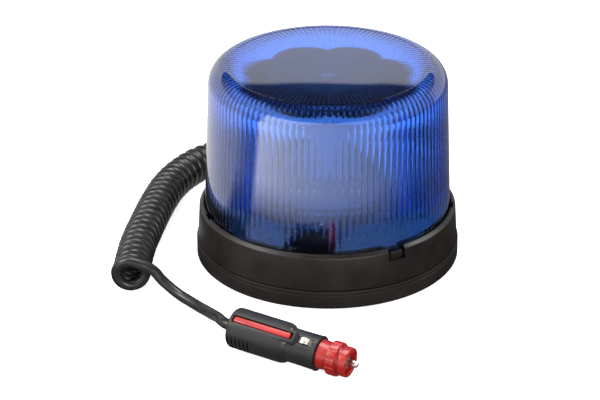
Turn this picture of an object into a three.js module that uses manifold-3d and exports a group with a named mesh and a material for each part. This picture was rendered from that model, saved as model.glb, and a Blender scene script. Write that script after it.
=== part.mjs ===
// Blue LED beacon with a magnetic foot for a vehicle roof, a curly supply cord and a fused 12/24 V plug.
// Millimetres, +Z up. The origin is the centre of the beacon's underside. The cord leaves the beacon at the
// back, coils round its left side and ends in the plug, which lies on the floor in front.
import * as THREE from "three";
import { mergeVertices } from "three/addons/utils/BufferGeometryUtils.js";
import Module from "manifold-3d";

const wasm = await Module();
wasm.setup();

// ---- Driving dimensions -------------------------------------------------------------------------------

const GAP = 0.3; // between pieces that touch
const MERGE = 0.3; // how far shapes of one piece run into each other
const PAST = 1; // how far a cut runs past what it cuts
const ROUND = 40; // sides of a large round piece
const SMALL_ROUND = 12; // sides of a screw, a pin or a hole

const beacon = { radius: 84, height: 130 };

// Magnetic foot
const boot = { skin: 2.5, floor: 2, opening: 40, edge: 1 };
const magnet = { inner: 44, thick: 7, clear: 3.5 };
const plate = { thick: 2.4 };
const vent = { radius: 3.6, head: 6, headHeight: 1.9, top: 1.5 };
boot.inside = beacon.radius - boot.skin;
boot.height = boot.floor + magnet.thick + plate.thick + 2 * GAP;
magnet.bottom = boot.floor + GAP;
magnet.top = magnet.bottom + magnet.thick;
magnet.outer = boot.inside - magnet.clear;
plate.bottom = magnet.top + GAP;

// Housing, with a rim that the lens twists into
const housing = { step: 0.8, draft: 1.2, wall: 2.6, floor: 2.5, height: 23.7, edge: 1.2 };
const lip = { width: 3, height: 3.5, undercut: 1.9 };
const shelf = { width: 7, thick: 2.6 };
housing.bottom = boot.height + GAP;
housing.floorTop = housing.bottom + housing.floor;
housing.top = housing.bottom + housing.height;
housing.bottomRadius = beacon.radius - housing.step;
housing.topRadius = housing.bottomRadius - housing.draft;
housing.inside = housing.bottomRadius - housing.wall;
lip.inner = housing.topRadius - lip.width;
lip.bottom = housing.top - lip.height;
lip.channel = lip.inner + lip.undercut;

// Lens, its lugs and its seal
const lens = { wall: 2.6, taper: 3.1, shoulder: 12, crown: 0.7, clear: 0.4 };
const lug = { angles: [90, -12, 192], sweep: 5, height: 2, reach: 1.5, drop: 0.5 }; // one way round only
const twist = { travel: 6.5, clear: 0.5, stop: 2.5 }; // degrees, anticlockwise to open
const seal = { width: 2.8, thick: 2.2 };
lens.bottomRadius = lip.inner - lens.clear;
lens.topRadius = lens.bottomRadius - lens.taper;
lens.top = beacon.height - lens.crown;
lens.shoulderHeight = lens.top - lens.shoulder;
lens.bottom = lip.bottom - lug.drop - lug.height;
lug.outer = lens.bottomRadius + lug.reach;
seal.bottom = lens.bottom - GAP - seal.thick;
seal.outer = lens.bottomRadius;
shelf.inner = lip.inner - shelf.width;
shelf.top = seal.bottom - GAP;
shelf.bottom = shelf.top - shelf.thick;

// Catch in the rim's notch
const notch = { angle: -58.7, width: 12, depth: 8.2 };
const latch = { width: 8, height: 4, recess: 0.5, thick: 1.3, travel: 1.5, clear: 0.5 };
const leaf = { width: 6.8, thick: 1, strip: 0.7 };
notch.bottom = housing.top - notch.depth;
latch.bottom = notch.bottom + GAP + latch.travel;
latch.top = latch.bottom + latch.height;
latch.back = lens.bottomRadius + latch.clear;
latch.front = latch.back + latch.thick;
latch.face = housing.topRadius - latch.recess;
latch.stemBottom = shelf.top + GAP;

// Driver board and what stands on it
const board = { margin: 6, thick: 1.6, clear: 8.7 };
const boss = { radius: 4, inset: 6, hole: 1.5, root: 0.5, blind: 1 };
const screw = { head: 3.4, headHeight: 2.2, clear: 0.3 };
const baseScrew = { angles: [60, 180, 300], circle: 32, shank: 1.8, grip: 4.5 };
const boardScrew = { angles: [0, 120, 240], shank: 1.2, head: 2.4, length: 6 };
const choke = { angle: -100, size: [26, 12, 12] };
const chip = { angle: -62, size: [9, 9, 2] };
const terminals = { size: [16, 9, 9] };
const capacitor = { angles: { left: -142, right: -30 }, radius: 5, height: 12 };
board.radius = shelf.inner - board.margin;
board.bottom = housing.floorTop + board.clear;
board.top = board.bottom + board.thick;
boss.circle = board.radius - boss.inset;
boss.bottom = housing.floorTop - boss.root;
boss.top = board.bottom - GAP;

// Light unit: finned heat sink, LED board, lobed reflector and its cap
const sink = { base: 14, baseRadius: 38, core: 22, fins: 3, finThick: 2, finPitch: 5, sides: 32 };
const led = { count: 8, circle: 38, size: 3.6, height: 1.8 };
const ledBoard = { radius: 54, inner: 11, thick: 1.6 };
const lobe = { count: 8, centre: 34, radius: 21, steps: 6 };
const horn = { foot: 0.3, wall: 0.05, floor: 3, steps: 6 };
const cap = { thick: 5, rise: 0.2 };
const bolt = { shank: 2, head: 4, headHeight: 2.5, grip: 14 };
const blindHole = 0.5; // room past a screw's end
sink.bottom = board.top + GAP;
sink.finStart = sink.bottom + sink.base;
sink.top = sink.finStart + sink.fins * sink.finPitch;
ledBoard.bottom = sink.top + GAP;
ledBoard.top = ledBoard.bottom + ledBoard.thick;
cap.top = lens.shoulderHeight + cap.rise;
cap.bottom = cap.top - cap.thick;
horn.bottom = ledBoard.top + GAP;
horn.top = cap.bottom - GAP;
board.middle = (sink.baseRadius + board.radius) / 2; // circle of the parts beside the sink

// Cord, its strain relief and the coil's outer shape
const cord = { radius: 3.4, exitAngle: 60 };
const relief = { length: 26, flange: 7.2, flangeThick: 2, root: 6.4, end: 4.8, bore: 3.5, inside: 3 };
const lead = { radius: 3.2, inner: 58 };
const coil = { radius: 12, height: 12.2 };
cord.exitHeight = (housing.floorTop + shelf.bottom) / 2;
relief.hole = (shelf.bottom - housing.floorTop) / 2 - GAP / 3;
relief.start = housing.bottomRadius + GAP;
relief.finish = relief.start + relief.length;

// Plug: distances run from its rear face towards the pin's tip
const plug = { rear: [-57.3, -132.9], heading: -28.2, roll: 34, rest: 0.1 };
const grip = { radius: 12.5, end: 36, edge: 1.2 };
const neck = { start: 40, radius: 10.5, end: 59 };
const nose = { radius: 6, end: 73.5 };
const bore = { radius: 3.5, start: 34 };
const sleeve = { length: 19.7, clear: 0.4, ringRadius: 10.5, rootRadius: 9.2, waistRadius: 8.5 };
const keyway = { width: 5, wall: 1.2, depth: 4.4 };
const ring = { start: 66.5, end: 72.5, frontStart: 74.5 };
const pin = { radius: 2.2, flange: 3.1, flangeThick: 2, end: 83.8, travel: 2.5 };
const ferrule = { radius: 4.2, thick: 3.2, bore: 2.6 };
const fuse = { radius: 3, length: 30 };
const contact = { start: 46.2, length: 9.6, width: 4, thick: 0.9, crest: 11.5, rise: 1.8, travel: 1.2 };
const pocket = { clear: 0.4, under: 0.1 };
const spring = { inner: 1.8 };
const clamp = { start: 3.2, end: 41.4, width: 3.8, bottom: 8, top: 12.1 };
const hinge = { at: 39.5, height: 9.8, radius: 0.8, half: 5.5, clear: 0.3 };
const slot = { start: 2.6, end: 43, width: 5, bottom: 6.8 };
const pad = { start: 34, end: 45, width: 9, top: 12.2, edge: 1.4 };
pocket.floor = contact.crest - contact.rise - contact.thick - contact.travel - pocket.under;
sleeve.start = neck.end + GAP;
sleeve.end = sleeve.start + sleeve.length;
pin.flangeEnd = nose.end - GAP;
fuse.end = pin.flangeEnd - pin.flangeThick - GAP;
fuse.start = fuse.end - fuse.length;
// The plug rests on the end of its grip and on the sleeve's ring, so its nose dips.
plug.tilt = Math.atan((grip.radius - sleeve.ringRadius) / (ring.end - grip.end));
plug.height = plug.rest + grip.radius * Math.cos(plug.tilt) + grip.end * Math.sin(plug.tilt);

// ---- Routes of the cord, chosen by hand ---------------------------------------------------------------

const beaconTailRoute = [
  [54.9, 95.1, 19.7], [58.4, 101.3, 19.3], [61.4, 108, 18.6], [62.7, 115.5, 18], [61.4, 123, 17.9],
  [57.2, 129.4, 18.2], [51, 134, 19], [43.5, 136.6, 20], [34.6, 137.2, 20.6],
];
const coilRoute = [
  [34, 137], [8, 138.3], [-18, 136.8], [-44, 130.5], [-67, 120], [-84.5, 106.5], [-96.5, 89], [-104.6, 70],
  [-110, 49], [-114, 28], [-117.6, 6], [-120.8, -16], [-123, -39], [-124.2, -62.8],
].map(([x, y]) => [x, y, coil.height]);
const plugTailRoute = [
  [-108.3, -64.1, 16.6], [-103.9, -66.1, 12], [-98.4, -69.2, 8], [-92, -74, 5], [-85.2, -80.4, 3.8],
  [-79.2, -87.6, 3.7], [-74.2, -95.6, 4.9], [-70.4, -103.8, 7], [-67.8, -111.4, 9.6], [-66.2, -118.6, 12.2],
  [-64.8, -124.2, 13.8], [-62.9, -128.6, 14.7], [-60.6, -131.1, 14.8], [-57.7, -132.69, 14.6],
];

// ---- Materials ----------------------------------------------------------------------------------------

const finish = (color, roughness, metalness = 0) => ({ color, roughness, metalness });
const blueLens = { ...finish(0x1c3fd6, 0.08), transparent: true, opacity: 0.45 };
const blackPlastic = finish(0x1d1c1c, 0.45);
const blackRubber = finish(0x191817, 0.75);
const blackCable = finish(0x1f1e1e, 0.4);
const redPlastic = finish(0xb3202a, 0.35);
const ferrite = finish(0x2c2c2e, 0.6, 0.2);
const steel = finish(0x9a9c9f, 0.35, 1);
const nickel = finish(0xd8d5cc, 0.2, 1);
const aluminium = finish(0xb9bcc0, 0.4, 1);
const greenBoard = finish(0x1d5a3a, 0.5);
const whiteBoard = finish(0xe4e6e4, 0.5);
const mirrorCoat = finish(0xe8ecef, 0.12, 1);
const phosphor = finish(0xe8dc7a, 0.4);
const clearGlass = { ...finish(0xdfe6e8, 0.1), transparent: true, opacity: 0.5 };

// ---- Shapes -------------------------------------------------------------------------------------------

const rad = THREE.MathUtils.degToRad;
const point = ([x, y]) => new THREE.Vector2(x, y);

// Points of an arc, in degrees.
function arc(cx, cy, radius, from, to, steps) {
  return Array.from({ length: steps + 1 }, (_, i) => {
    const a = rad(from + ((to - from) * i) / steps);
    return [cx + radius * Math.cos(a), cy + radius * Math.sin(a)];
  });
}

// A profile of [radius, height] points, anticlockwise, spun about Z. One that is off the axis is closed here.
function spin(profile, sides = ROUND) {
  const closed = profile[0][0] > 0 ? [...profile, profile[0]] : profile;
  return new THREE.LatheGeometry(closed.map(point), sides).rotateX(Math.PI / 2);
}

// The same, spun about X: the points are [radius, distance along X].
const spinAlongX = (profile, sides = 20) => spin(profile, sides).rotateY(Math.PI / 2);

const rod = (radius, from, to, sides = SMALL_ROUND) =>
  spin([[0, from], [radius, from], [radius, to], [0, to]], sides);

const tubeRing = (inner, outer, from, to) => spin([[inner, from], [outer, from], [outer, to], [inner, to]]);

// A box from its lowest corner to its highest.
function block([x0, y0, z0], [x1, y1, z1]) {
  const box = new THREE.BoxGeometry(x1 - x0, y1 - y0, z1 - z0);
  return box.translate((x0 + x1) / 2, (y0 + y1) / 2, (z0 + z1) / 2);
}

const slab = (outline, depth, steps = 1) =>
  new THREE.ExtrudeGeometry(new THREE.Shape(outline.map(point)), { depth, steps, bevelEnabled: false });

// An outline in X and Z, given a width along Y.
const acrossY = (outline, width) => slab(outline, width).translate(0, 0, -width / 2).rotateX(Math.PI / 2);

// A wedge of a ring between two angles, for lugs, for stops and for the gaps that lugs pass through.
function sector(inner, outer, from, to, bottom, top) {
  const outline = [...arc(0, 0, outer, from, to, 3), ...arc(0, 0, inner, to, from, 3)];
  return slab(outline, top - bottom).translate(0, 0, bottom);
}

function tube(route, radius, sides, steps) {
  const section = new THREE.Shape(arc(0, 0, radius, 0, 360 - 360 / sides, sides - 1).map(point));
  const extrudePath = new THREE.CatmullRomCurve3(route.map((p) => new THREE.Vector3(...p)));
  return new THREE.ExtrudeGeometry(section, { steps, extrudePath, bevelEnabled: false });
}

const turned = (geometry, degrees) => geometry.rotateZ(rad(degrees));

// Copies of a shape at each angle, moved out to a circle first.
const around = (angles, circle, make) => angles.map((a) => turned(make().translate(circle, 0, 0), a));

// A closed geometry as a solid that can be joined and cut.
function solid(geometry) {
  const bare = geometry.clone();
  bare.deleteAttribute("normal");
  bare.deleteAttribute("uv");
  const merged = mergeVertices(bare, 1e-4);
  const corners = merged.index.array;
  const kept = [];
  for (let i = 0; i < corners.length; i += 3) {
    const [a, b, c] = corners.slice(i, i + 3);
    if (a !== b && b !== c && c !== a) kept.push(a, b, c);
  }
  const vertProperties = merged.attributes.position.array;
  return new wasm.Manifold(new wasm.Mesh({ numProp: 3, vertProperties, triVerts: new Uint32Array(kept) }));
}

function geometryOf(manifold) {
  const { vertProperties, triVerts } = manifold.getMesh();
  const geometry = new THREE.BufferGeometry();
  geometry.setAttribute("position", new THREE.BufferAttribute(vertProperties, 3));
  return geometry.setIndex(new THREE.BufferAttribute(triVerts, 1));
}

// One body from several geometries that meet, less the geometries that cut it.
function carve(parts, tools = []) {
  const body = parts.map(solid).reduce((a, b) => a.add(b));
  return geometryOf(tools.map(solid).reduce((left, tool) => left.subtract(tool), body));
}

// Adds a named piece with a material of its own.
function add(group, name, geometry, material) {
  const mesh = new THREE.Mesh(geometry, new THREE.MeshStandardMaterial(material));
  mesh.name = name;
  group.add(mesh);
}

// A screw with its head's seat at the origin, its shank upwards.
function screwUp(shank, head, headHeight, length) {
  return spin([
    [0, -headHeight], [head, -headHeight], [head, 0], [shank, 0], [shank, length], [0, length],
  ], SMALL_ROUND);
}

// ---- Magnetic foot ------------------------------------------------------------------------------------

const baseScrewHoles = (top) =>
  around(baseScrew.angles, baseScrew.circle, () => rod(baseScrew.shank + screw.clear, 0, top));

const ventHole = () => rod(vent.radius + GAP, 0, housing.top);

function addFoot(group) {
  add(group, "foot_boot", spin([
    [boot.opening, 0], [beacon.radius - boot.edge, 0], [beacon.radius, boot.edge],
    [beacon.radius, boot.height], [boot.inside, boot.height], [boot.inside, boot.floor],
    [boot.opening, boot.floor],
  ]), blackRubber);

  add(group, "magnet_ring", tubeRing(magnet.inner, magnet.outer, magnet.bottom, magnet.top), ferrite);

  const disc = rod(boot.inside - GAP, plate.bottom, plate.bottom + plate.thick, ROUND);
  add(group, "pole_plate", carve([disc], [...baseScrewHoles(housing.top), ventHole()]), steel);

  const seat = plate.bottom - GAP;
  const length = sink.bottom + baseScrew.grip - seat;
  const baseScrewShape = () => screwUp(baseScrew.shank, screw.head, screw.headHeight, length);
  around(baseScrew.angles, baseScrew.circle, baseScrewShape)
    .forEach((shape, i) => add(group, `base_screw_${i + 1}`, shape.translate(0, 0, seat), steel));

  // Breather plug, whose stem goes up through the plate and the housing's floor.
  add(group, "vent_plug", spin([
    [0, seat - vent.headHeight], [vent.head, seat - vent.headHeight], [vent.head, seat], [vent.radius, seat],
    [vent.radius, housing.floorTop + vent.top], [0, housing.floorTop + vent.top],
  ], SMALL_ROUND), blackRubber);
}

// ---- Housing ------------------------------------------------------------------------------------------

function housingShell() {
  return spin([
    [0, housing.bottom], [housing.bottomRadius, housing.bottom],
    [housing.topRadius, housing.top - housing.edge], [housing.topRadius - housing.edge, housing.top],
    [lip.inner, housing.top], [lip.inner, lip.bottom], [lip.channel, lip.bottom], [lip.channel, shelf.top],
    [shelf.inner, shelf.top], [shelf.inner, shelf.bottom], [housing.inside, shelf.bottom],
    [housing.inside, housing.floorTop], [0, housing.floorTop],
  ]);
}

// Where a lug passes down through the lip, and the two stops that it turns between.
function lugGap(angle) {
  const reach = lug.sweep / 2 + twist.clear;
  const open = angle + twist.travel;
  const [inner, outer] = [lip.inner - PAST, lug.outer + GAP];
  return sector(inner, outer, open - reach, open + reach, lip.bottom - MERGE, housing.top + PAST);
}

function lugStops(angle) {
  const reach = lug.sweep / 2 + twist.clear;
  const shut = angle - reach;
  const open = angle + twist.travel + reach;
  return [[shut - twist.stop, shut], [open, open + twist.stop]].map(([from, to]) =>
    sector(lip.inner + GAP, lip.channel + MERGE, from, to, shelf.top - MERGE, lip.bottom + MERGE));
}

// The notch through the rim and the well that the catch's stem slides in.
function catchCuts() {
  const half = notch.width / 2;
  const stemHalf = latch.width / 2 + GAP;
  return [
    block([lip.inner - PAST, -half, notch.bottom], [housing.bottomRadius + PAST, half, housing.top + PAST]),
    block([latch.back - GAP, -stemHalf, shelf.bottom - PAST], [latch.front + GAP, stemHalf, housing.top]),
  ].map((tool) => turned(tool, notch.angle));
}

function addHousing(group) {
  const post = () => rod(boss.radius, boss.bottom, boss.top);
  const boardBosses = around(boardScrew.angles, boss.circle, post);
  const screwBosses = around(baseScrew.angles, baseScrew.circle, post);
  const boardHoles = around(boardScrew.angles, boss.circle, () =>
    rod(boss.hole, housing.floorTop + boss.blind, housing.top));
  const past = beacon.radius + PAST;
  const cableHole = spinAlongX([
    [0, shelf.inner], [relief.hole, shelf.inner], [relief.hole, past], [0, past],
  ], SMALL_ROUND).translate(0, 0, cord.exitHeight);
  add(group, "base_housing", carve(
    [housingShell(), ...boardBosses, ...screwBosses, ...lug.angles.flatMap(lugStops)],
    [...baseScrewHoles(housing.top), ...boardHoles, ventHole(), ...lug.angles.map(lugGap),
      turned(cableHole, cord.exitAngle), ...catchCuts()],
  ), blackPlastic);

  const sealTop = seal.bottom + seal.thick;
  add(group, "lens_seal", tubeRing(seal.outer - seal.width, seal.outer, seal.bottom, sealTop), blackRubber);
}

// The catch is pressed down in its notch with a fingertip to free the lens, and its leaf spring lifts it.
function addCatch(group) {
  const half = latch.width / 2;
  const stem = block([latch.back, -half, latch.stemBottom], [latch.front, half, latch.top]);
  const tab = block([latch.back, -half, latch.bottom], [latch.face, half, latch.top]);
  add(group, "lens_catch", turned(carve([stem, tab]), notch.angle), blackPlastic);

  const low = housing.floorTop + GAP;
  const high = latch.stemBottom - GAP;
  const foot = leaf.width / 2;
  const outline = [
    [-foot, low], [leaf.strip - foot, low], [0, high - 2 * leaf.strip], [foot - leaf.strip, low],
    [foot, low], [leaf.strip, high], [-leaf.strip, high],
  ];
  const underStem = latch.back + latch.thick / 2;
  const shape = acrossY(outline, leaf.thick).rotateZ(Math.PI / 2).translate(underStem, 0, 0);
  add(group, "catch_spring", turned(shape, notch.angle), steel);
}

// ---- Lens ---------------------------------------------------------------------------------------------

function addLens(group) {
  const steps = 4;
  const shoulderRadius = lens.topRadius - lens.shoulder;
  const wallInside = lens.bottomRadius - lens.wall;
  const crownInside = beacon.height - lens.wall;
  const shell = spin([
    [wallInside, lens.bottom], [lens.bottomRadius, lens.bottom],
    ...arc(shoulderRadius, lens.shoulderHeight, lens.shoulder, 0, 90, steps), [0, beacon.height],
    [0, crownInside], ...arc(shoulderRadius, lens.shoulderHeight, lens.shoulder - lens.wall, 90, 0, steps),
    [wallInside, lens.bottom],
  ]);
  const half = lug.sweep / 2;
  const lugs = lug.angles.map((a) =>
    sector(lens.bottomRadius - PAST, lug.outer, a - half, a + half, lens.bottom, lens.bottom + lug.height));
  add(group, "lens_dome", carve([shell, ...lugs]), blueLens);
}

// ---- Driver board -------------------------------------------------------------------------------------

function addDriver(group) {
  const boardHoles = around(boardScrew.angles, boss.circle, () => rod(boss.hole, 0, housing.top));
  const disc = rod(board.radius, board.bottom, board.top, ROUND);
  add(group, "driver_board", carve([disc], [...baseScrewHoles(housing.top), ...boardHoles]), greenBoard);

  const { shank, head, length } = boardScrew;
  const boardScrewShape = () => screwUp(shank, head, screw.headHeight, length).rotateX(Math.PI);
  around(boardScrew.angles, boss.circle, boardScrewShape)
    .forEach((shape, i) => add(group, `board_screw_${i + 1}`, shape.translate(0, 0, board.top + GAP), steel));

  const low = board.top + GAP;
  const place = (shape, angle) => turned(shape.rotateZ(Math.PI / 2).translate(board.middle, 0, 0), angle);
  const box = ([long, wide, high], angle) =>
    place(block([-long / 2, -wide / 2, low], [long / 2, wide / 2, low + high]), angle);
  add(group, "choke", box(choke.size, choke.angle), blackPlastic);
  add(group, "driver_chip", box(chip.size, chip.angle), blackPlastic);
  add(group, "terminal_block", box(terminals.size, cord.exitAngle), whiteBoard);
  const can = () => rod(capacitor.radius, low, low + capacitor.height);
  Object.entries(capacitor.angles).forEach(([side, angle]) =>
    add(group, `capacitor_${side}`, place(can(), angle), aluminium));
}

// ---- Light unit ---------------------------------------------------------------------------------------

// The sink's [radius, height] profile: a thick base, then a fin at each pitch round the core.
function sinkProfile() {
  const fins = Array.from({ length: sink.fins }, (_, i) => {
    const top = sink.finStart + (i + 1) * sink.finPitch;
    const under = top - sink.finThick;
    const edge = [[sink.core, under], [sink.baseRadius, under], [sink.baseRadius, top]];
    return i === sink.fins - 1 ? edge : [...edge, [sink.core, top]];
  });
  return [[0, sink.bottom], [sink.baseRadius, sink.bottom], [sink.baseRadius, sink.finStart],
    [sink.core, sink.finStart], ...fins.flat(), [0, sink.top]];
}

// The reflector's outline from above: arcs round the lobes that meet in valleys.
function lobedOutline() {
  const half = 180 / lobe.count;
  const across = lobe.centre * Math.sin(rad(half));
  const valley = lobe.centre * Math.cos(rad(half)) + Math.sqrt(lobe.radius ** 2 - across ** 2);
  const sweep = THREE.MathUtils.radToDeg(
    Math.atan2(valley * Math.sin(rad(half)), valley * Math.cos(rad(half)) - lobe.centre),
  );
  return Array.from({ length: lobe.count }, (_, i) => {
    const angle = half + 2 * half * i;
    const [x, y] = [lobe.centre * Math.cos(rad(angle)), lobe.centre * Math.sin(rad(angle))];
    return arc(x, y, lobe.radius, angle - sweep, angle + sweep, lobe.steps).slice(1);
  }).flat();
}

// The lobed outline drawn out upwards and flared, less a wall's share for the inside.
function flare(bottom, top, inset) {
  const shape = slab(lobedOutline(), top - bottom, horn.steps).translate(0, 0, bottom);
  const { position } = shape.attributes;
  for (let i = 0; i < position.count; i += 1) {
    const rise = (position.getZ(i) - horn.bottom) / (horn.top - horn.bottom);
    const scale = horn.foot + (1 - horn.foot) * rise ** 2 - inset;
    position.setXY(i, position.getX(i) * scale, position.getY(i) * scale);
  }
  return shape;
}

function addLightUnit(group) {
  const boltHole = () => rod(bolt.shank + screw.clear, sink.top - bolt.grip - blindHole, beacon.height);
  const screwEnd = sink.bottom + baseScrew.grip + blindHole;
  const sinkShape = carve([spin(sinkProfile(), sink.sides)], [boltHole(), ...baseScrewHoles(screwEnd)]);
  add(group, "heat_sink", sinkShape, aluminium);
  const { inner, radius, bottom, top } = ledBoard;
  add(group, "led_board", tubeRing(inner, radius, bottom, top), whiteBoard);

  const half = led.size / 2;
  const low = top + GAP;
  for (let i = 0; i < led.count; i += 1) {
    const cube = block([led.circle - half, -half, low], [led.circle + half, half, low + led.height]);
    add(group, `led_${i + 1}`, turned(cube, (360 * (i + 0.5)) / led.count), phosphor);
  }

  const hollow = flare(horn.bottom + horn.floor, horn.top + PAST, horn.wall);
  add(group, "reflector", carve([flare(horn.bottom, horn.top, 0)], [hollow, boltHole()]), mirrorCoat);
  const lid = slab(lobedOutline(), cap.thick).translate(0, 0, cap.bottom);
  add(group, "reflector_cap", carve([lid], [boltHole()]), blackPlastic);

  const seat = cap.top + GAP;
  const length = seat - sink.top + bolt.grip;
  const shape = screwUp(bolt.shank, bolt.head, bolt.headHeight, length).rotateX(Math.PI);
  add(group, "centre_bolt", shape.translate(0, 0, seat), steel);
}

// ---- Cord ---------------------------------------------------------------------------------------------

function addCord(group) {
  const out = new THREE.Group();
  out.rotation.z = rad(cord.exitAngle);
  out.position.z = cord.exitHeight;
  group.add(out);
  const inner = shelf.inner + relief.inside;
  add(out, "strain_relief", spinAlongX([
    [relief.bore, inner], [relief.hole - GAP, inner], [relief.hole - GAP, relief.start],
    [relief.flange, relief.start], [relief.flange, relief.start + relief.flangeThick],
    [relief.root, relief.start + relief.flangeThick], [relief.end, relief.finish],
    [relief.bore, relief.finish],
  ], 16), blackRubber);
  const ends = [[0, lead.inner], [lead.radius, lead.inner], [lead.radius, relief.finish], [0, relief.finish]];
  add(out, "supply_lead", spinAlongX(ends, 10), blackCable);

  add(group, "cord_tail_beacon", tube(beaconTailRoute, cord.radius, 10, 12), blackCable);
  add(group, "cord_coil", tube(coilRoute, coil.radius, 12, 20), blackCable);
  add(group, "cord_tail_plug", tube(plugTailRoute, cord.radius, 10, 16), blackCable);
}

// ---- Plug ---------------------------------------------------------------------------------------------

function plugBody() {
  const body = spinAlongX([
    [0, 0], [grip.radius - grip.edge, 0], [grip.radius, grip.edge], [grip.radius, grip.end],
    [grip.radius - 0.6, grip.end + 2], [neck.radius, neck.start], [neck.radius, neck.end],
    [nose.radius, neck.end], [nose.radius, nose.end], [bore.radius, nose.end], [bore.radius, bore.start],
    [0, bore.start],
  ], 24);
  const raised = acrossY([
    [pad.start, slot.bottom], [pad.end, slot.bottom], [pad.end, pad.top - pad.edge],
    [pad.end - pad.edge, pad.top], [pad.start, pad.top],
  ], pad.width);
  const halfSlot = slot.width / 2;
  const halfPocket = contact.width / 2 + pocket.clear;
  const contactPocket = () => block(
    [contact.start - pocket.clear, -halfPocket, pocket.floor],
    [contact.start + contact.length + pocket.clear, halfPocket, grip.radius + PAST],
  );
  return carve([body, raised], [
    block([slot.start, -halfSlot, slot.bottom], [slot.end, halfSlot, grip.radius + PAST]),
    contactPocket(), contactPocket().rotateX(Math.PI),
    hingeRod(hinge.radius + hinge.clear, hinge.half + GAP),
  ]);
}

const hingeRod = (radius, half) =>
  rod(radius, -half, half).rotateX(Math.PI / 2).translate(hinge.at, 0, hinge.height);

function contactStrip() {
  const { start, length, crest, rise, thick } = contact;
  const arch = [[0, rise], [0.23, 0.4], [0.5, 0], [0.77, 0.4], [1, rise]]
    .map(([share, drop]) => [start + share * length, crest - drop]);
  const under = arch.map(([x, z]) => [x, z - thick]);
  return acrossY([...under, ...arch.reverse()], contact.width);
}

function adapterSleeve() {
  const inner = nose.radius + sleeve.clear;
  const body = spinAlongX([
    [inner, sleeve.start], [sleeve.rootRadius, sleeve.start], [sleeve.waistRadius, ring.start],
    [sleeve.ringRadius, ring.start], [sleeve.ringRadius, ring.end], [sleeve.waistRadius, ring.end],
    [sleeve.waistRadius, ring.frontStart], [sleeve.rootRadius, ring.frontStart],
    [sleeve.rootRadius, sleeve.end], [inner, sleeve.end],
  ]);
  const reach = sleeve.rootRadius - keyway.wall;
  const half = keyway.width / 2;
  return carve([body], [block([sleeve.end - keyway.depth, -reach, -half], [sleeve.end + PAST, reach, half])]);
}

function addPlug(group) {
  const lying = new THREE.Group();
  lying.position.set(...plug.rear, plug.height);
  lying.rotation.set(rad(plug.roll), plug.tilt, rad(plug.heading), "ZYX");
  group.add(lying);

  add(lying, "plug_housing", plugBody(), blackPlastic);
  const bar = acrossY([
    [clamp.start, clamp.bottom], [clamp.end, clamp.bottom], [clamp.end, clamp.top], [clamp.start, clamp.top],
  ], clamp.width);
  add(lying, "clamp_bar", carve([bar], [hingeRod(hinge.radius + hinge.clear, hinge.half)]), redPlastic);
  add(lying, "clamp_pin", hingeRod(hinge.radius, hinge.half), steel);
  add(lying, "contact_upper", contactStrip(), nickel);
  add(lying, "contact_lower", contactStrip().rotateX(Math.PI), nickel);
  add(lying, "adapter_sleeve", adapterSleeve(), redPlastic);

  const capStart = nose.end + GAP;
  add(lying, "nose_ferrule", spinAlongX([
    [ferrule.bore, capStart], [ferrule.radius, capStart], [ferrule.radius, capStart + ferrule.thick],
    [ferrule.bore, capStart + ferrule.thick],
  ]), nickel);
  add(lying, "centre_pin", spinAlongX([
    [0, pin.flangeEnd - pin.flangeThick], [pin.flange, pin.flangeEnd - pin.flangeThick],
    [pin.flange, pin.flangeEnd], [pin.radius, pin.flangeEnd], [pin.radius, pin.end - 1],
    [pin.radius - 0.8, pin.end], [0, pin.end],
  ], SMALL_ROUND), nickel);
  add(lying, "fuse", spinAlongX([
    [0, fuse.start], [fuse.radius, fuse.start], [fuse.radius, fuse.end], [0, fuse.end],
  ], SMALL_ROUND), clearGlass);
  const springEnds = [bore.start + GAP, fuse.start - GAP];
  add(lying, "tip_spring", spinAlongX([
    [spring.inner, springEnds[0]], [fuse.radius, springEnds[0]], [fuse.radius, springEnds[1]],
    [spring.inner, springEnds[1]],
  ], SMALL_ROUND), steel);
}

// ---- The whole object ---------------------------------------------------------------------------------

const object = new THREE.Group();
addFoot(object);
addHousing(object);
addCatch(object);
addLens(object);
addDriver(object);
addLightUnit(object);
addCord(object);
addPlug(object);

export default object;
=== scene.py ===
import math
import bmesh
import bpy
from mathutils import Matrix, Vector


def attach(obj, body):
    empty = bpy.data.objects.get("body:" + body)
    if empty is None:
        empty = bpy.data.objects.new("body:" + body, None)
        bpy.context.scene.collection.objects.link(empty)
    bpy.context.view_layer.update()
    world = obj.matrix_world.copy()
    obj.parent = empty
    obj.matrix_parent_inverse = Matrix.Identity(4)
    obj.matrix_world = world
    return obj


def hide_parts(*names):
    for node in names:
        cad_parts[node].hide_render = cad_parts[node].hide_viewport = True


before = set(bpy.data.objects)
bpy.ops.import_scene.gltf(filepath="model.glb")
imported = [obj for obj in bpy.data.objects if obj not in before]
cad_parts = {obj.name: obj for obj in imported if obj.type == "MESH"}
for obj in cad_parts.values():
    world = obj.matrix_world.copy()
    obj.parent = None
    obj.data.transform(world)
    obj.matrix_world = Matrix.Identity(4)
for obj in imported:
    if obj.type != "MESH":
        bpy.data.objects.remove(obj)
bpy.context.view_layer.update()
mm = 0.001

# camera: long lens, looking down a little from the front

camera = {
    "target": (-17.63, 0, 35.28),
    "distance": 1800,
    "elevation": 25.61,
    "lens": 168.5,
}


def makeCamera(spec):
    data = bpy.data.cameras.new("camera")
    data.lens = spec["lens"]
    data.sensor_width = 36
    data.clip_end = 20
    rise = math.radians(spec["elevation"])
    back = Vector((0, -math.cos(rise), math.sin(rise)))
    holder = bpy.data.objects.new("camera", data)
    holder.location = (Vector(spec["target"]) + back * spec["distance"]) * mm
    holder.rotation_mode = "QUATERNION"
    holder.rotation_quaternion = back.to_track_quat("Z", "Y")
    bpy.context.scene.collection.objects.link(holder)
    bpy.context.scene.camera = holder


makeCamera(camera)

# one object from a bmesh, at the origin with its place in its mesh


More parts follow.
